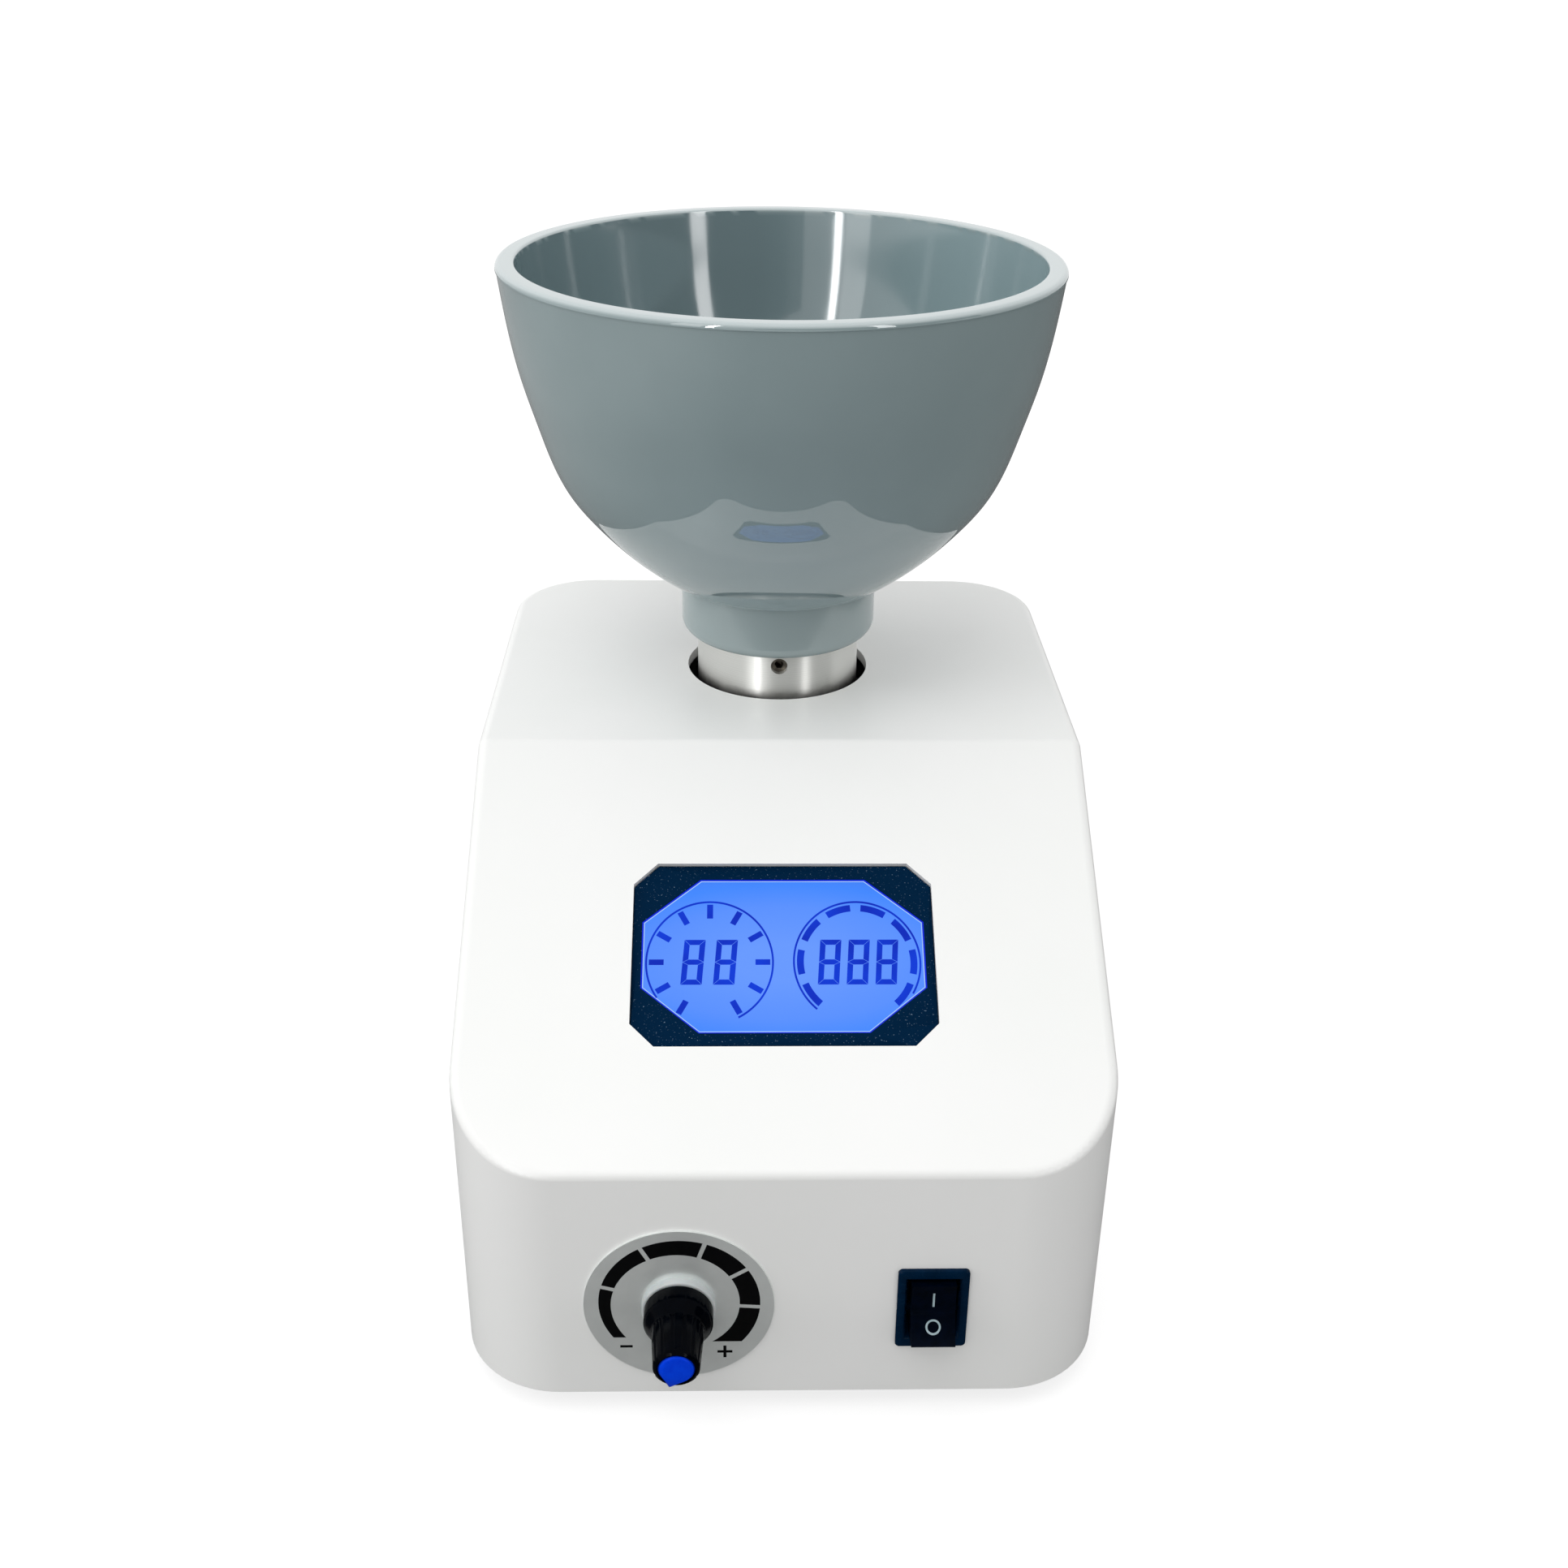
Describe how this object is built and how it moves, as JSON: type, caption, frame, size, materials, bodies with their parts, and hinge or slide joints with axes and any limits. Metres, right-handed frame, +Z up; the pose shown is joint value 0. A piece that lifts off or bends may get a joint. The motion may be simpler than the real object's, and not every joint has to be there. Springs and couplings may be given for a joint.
{
  "type": "dental impression mixer",
  "caption": "Bench-top dental impression mixer: wedge-shaped housing with display, speed knob and rocker switch, and a belt-driven upright spindle that spins a lift-off rubber bowl.",
  "frame": {"origin": "on the table, under the centre of the machine's bounding box", "axes": "+Z up, -Y towards the user in front of the controls, +X to the user's right"},
  "size_m": [0.14, 0.218, 0.2196],
  "materials": {
    "painted_abs": "satin",
    "zinc_steel": "satin",
    "screw_steel": "satin",
    "bearing_steel": "polished",
    "stainless_hub": "brushed",
    "cast_aluminium": "satin",
    "foot_rubber": "matte",
    "bowl_rubber": "gloss",
    "black_plastic": "satin",
    "rocker_plastic": "gloss",
    "blue_plastic": "satin",
    "white_plastic": "satin",
    "display_glass": "gloss",
    "dial_aluminium": "satin",
    "pot_metal": "satin",
    "contact_brass": "polished",
    "circuit_board": "satin",
    "board_parts": "matte"
  },
  "bodies": {
    "chassis": {"housing": "painted_abs", "base_plate": "zinc_steel", "rubber_feet": "foot_rubber", "foot_screws": "screw_steel", "foot_nuts": "screw_steel", "base_screws": "screw_steel", "drive_plate": "zinc_steel", "standoffs": "zinc_steel", "standoff_screws": "screw_steel", "bearing_housing": "cast_aluminium", "bearing_housing_screws": "screw_steel", "bearing_outer_rings": "bearing_steel", "bearing_balls": "bearing_steel", "drive_belt": "foot_rubber", "motor_can": "zinc_steel", "motor_end_cap": "black_plastic", "motor_terminals": "contact_brass", "motor_screws": "screw_steel", "display_frame": "black_plastic", "display_glass": "display_glass", "display_backlight": "white_plastic", "display_board": "circuit_board", "display_board_parts": "board_parts", "display_screws": "screw_steel", "dial_plate": "dial_aluminium", "dial_ring": "white_plastic", "potentiometer": "pot_metal", "potentiometer_lugs": "contact_brass", "potentiometer_nut": "screw_steel", "switch_body": "black_plastic", "switch_terminals": "contact_brass", "inlet_body": "black_plastic", "inlet_pins": "contact_brass", "inlet_screws": "screw_steel", "inlet_nuts": "screw_steel", "power_board": "circuit_board", "power_board_posts": "screw_steel", "power_board_screws": "screw_steel", "power_transformer": "board_parts", "power_capacitors": "black_plastic", "power_heat_sink": "cast_aluminium"},
    "spindle": {"spindle_shaft": "bearing_steel", "drive_hub": "stainless_hub", "hub_set_screw": "screw_steel", "driven_pulley": "cast_aluminium", "bearing_inner_rings": "bearing_steel", "spindle_spacer": "cast_aluminium", "spindle_circlip": "screw_steel"},
    "bowl": {"mixing_bowl": "bowl_rubber"},
    "rotor": {"motor_shaft": "screw_steel", "motor_armature": "board_parts", "motor_pulley": "cast_aluminium", "motor_pulley_grub_screw": "screw_steel"},
    "knob": {"speed_knob": "black_plastic", "knob_cap": "blue_plastic", "potentiometer_shaft": "pot_metal"},
    "rocker": {"switch_rocker": "rocker_plastic"}
  },
  "joints": [
    {"name": "spindle_spin", "type": "hinge", "parent": "chassis", "child": "spindle", "pos_m": [0, 0.04415, 0.1075], "axis": [0, 0, 1], "continuous": true},
    {"name": "bowl_lift", "type": "slide", "parent": "spindle", "child": "bowl", "axis": [0, 0, 1], "range_m": [0, 0.04]},
    {"name": "motor_spin", "type": "hinge", "parent": "chassis", "child": "rotor", "pos_m": [0, -0.00135, 0.1075], "axis": [0, 0, 1], "continuous": true},
    {"name": "knob_turn", "type": "hinge", "parent": "chassis", "child": "knob", "pos_m": [-0.0222, -0.09005, 0.03105], "axis": [0, 1, 0], "range_deg": [0, 300]},
    {"name": "rocker_tilt", "type": "hinge", "parent": "chassis", "child": "rocker", "pos_m": [0.0311, -0.08955, 0.02985], "axis": [1, 0, 0], "range_deg": [0, 28]}
  ],
  "couplings": [
    {"joint": "motor_spin", "follows": "spindle_spin", "ratio": 4.9231}
  ]
}
